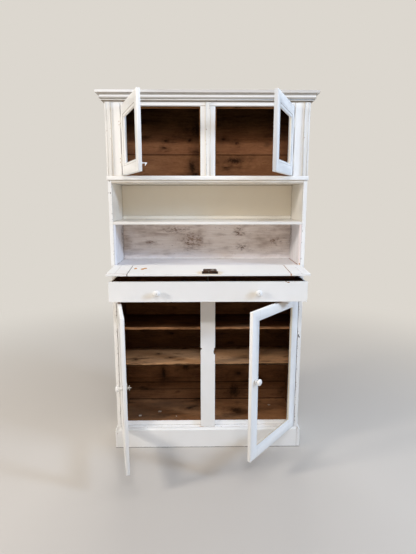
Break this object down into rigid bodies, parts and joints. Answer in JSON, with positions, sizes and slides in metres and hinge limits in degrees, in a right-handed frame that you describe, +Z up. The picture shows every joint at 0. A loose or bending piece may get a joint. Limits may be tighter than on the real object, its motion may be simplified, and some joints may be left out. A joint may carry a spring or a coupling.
{
  "type": "bookcase cabinet",
  "caption": "Tall white-painted wooden cupboard with a cornice, framed doors above and below, an open niche, a fall flap and a wide drawer.",
  "frame": {"origin": "on the floor, at the middle of the underside of the front plinth board", "axes": "+Z up, +Y from the front to the back, +X to the right as seen from the front"},
  "size_m": [1.142, 0.7672, 2],
  "materials": {
    "white_paint": "worn off-white oil paint on softwood",
    "cream_paint": "thin cream and grey paint on boards",
    "brown_wood": "dark stained bare boards",
    "rusty_iron": "rusty, partly painted over"
  },
  "bodies": {
    "carcass": {"side_left": "white_paint", "side_right": "white_paint", "top_board": "white_paint", "upper_floor": "white_paint", "niche_shelf": "white_paint", "niche_floor": "white_paint", "dust_board": "white_paint", "high_shelf": "brown_wood", "low_shelf": "brown_wood", "bottom_board": "brown_wood", "back_lower": "brown_wood", "back_middle": "cream_paint", "back_upper": "brown_wood", "upper_stile_left": "white_paint", "upper_stile_right": "white_paint", "top_rail": "white_paint", "upper_mullion": "white_paint", "flap_rail": "white_paint", "bottom_rail": "white_paint", "niche_batten": "cream_paint", "lower_mullion": "white_paint", "flap_stop_left": "white_paint", "flap_stop_right": "white_paint", "cornice_front": "white_paint", "cornice_left": "white_paint", "cornice_right": "white_paint", "plinth_front": "white_paint", "plinth_left": "white_paint", "plinth_right": "white_paint", "waist_moulding": "white_paint", "strip_left": "white_paint", "strip_centre": "white_paint", "strip_right": "white_paint", "upper_left_hinge_top": "rusty_iron", "upper_left_hinge_bottom": "rusty_iron", "upper_right_hinge_top": "rusty_iron", "upper_right_hinge_bottom": "rusty_iron", "lower_left_hinge_top": "rusty_iron", "lower_left_hinge_bottom": "rusty_iron", "lower_right_hinge_top": "rusty_iron", "lower_right_hinge_bottom": "rusty_iron"},
    "upper_left_leaf": {"upper_left_door": "white_paint", "upper_left_catch": "white_paint"},
    "upper_right_leaf": {"upper_right_door": "white_paint"},
    "lower_left_leaf": {"lower_left_door": "white_paint"},
    "lower_right_leaf": {"lower_right_door": "white_paint"},
    "flap": {"flap_panel": "white_paint", "flap_end_left": "white_paint", "flap_end_right": "white_paint", "flap_lock": "rusty_iron"},
    "drawer": {"drawer_front": "white_paint", "drawer_side_left": "brown_wood", "drawer_side_right": "brown_wood", "drawer_back": "brown_wood", "drawer_bottom": "brown_wood", "drawer_divider": "brown_wood", "drawer_knob_left": "white_paint", "drawer_knob_right": "white_paint"},
    "left_latch": {"lower_left_knob": "white_paint"},
    "right_latch": {"lower_right_knob": "white_paint"}
  },
  "joints": [
    {"name": "upper_left_door_hinge", "type": "hinge", "parent": "carcass", "child": "upper_left_leaf", "pos_m": [-0.4525, 0.005, 1.579], "axis": [0, 0, -1], "range_deg": [-70.4, 94.6]},
    {"name": "upper_right_door_hinge", "type": "hinge", "parent": "carcass", "child": "upper_right_leaf", "pos_m": [0.4525, 0.005, 1.579], "axis": [0, 0, 1], "range_deg": [-68.4, 96.6]},
    {"name": "lower_left_door_hinge", "type": "hinge", "parent": "carcass", "child": "lower_left_leaf", "pos_m": [-0.512, 0.005, 0.129], "axis": [0, 0, -1], "range_deg": [-77, 88]},
    {"name": "lower_right_door_hinge", "type": "hinge", "parent": "carcass", "child": "lower_right_leaf", "pos_m": [0.512, 0.005, 0.129], "axis": [0, 0, 1], "range_deg": [-50.3, 114.7]},
    {"name": "flap_hinge", "type": "hinge", "parent": "carcass", "child": "flap", "pos_m": [0, 0.0061, 1.098], "axis": [-1, 0, 0], "range_deg": [0, 93]},
    {"name": "drawer_slide", "type": "slide", "parent": "carcass", "child": "drawer", "axis": [0, -1, 0], "range_m": [-0.192, 0.055]},
    {"name": "left_latch_turn", "type": "hinge", "parent": "lower_left_leaf", "child": "left_latch", "pos_m": [-0.41267, -0.41902, 0.57], "axis": [0.9744, 0.225, 0], "range_deg": [0, 180]},
    {"name": "right_latch_turn", "type": "hinge", "parent": "lower_right_leaf", "child": "right_latch", "pos_m": [0.23274, -0.32918, 0.5625], "axis": [0.7694, -0.6388, 0], "range_deg": [0, 180]}
  ]
}
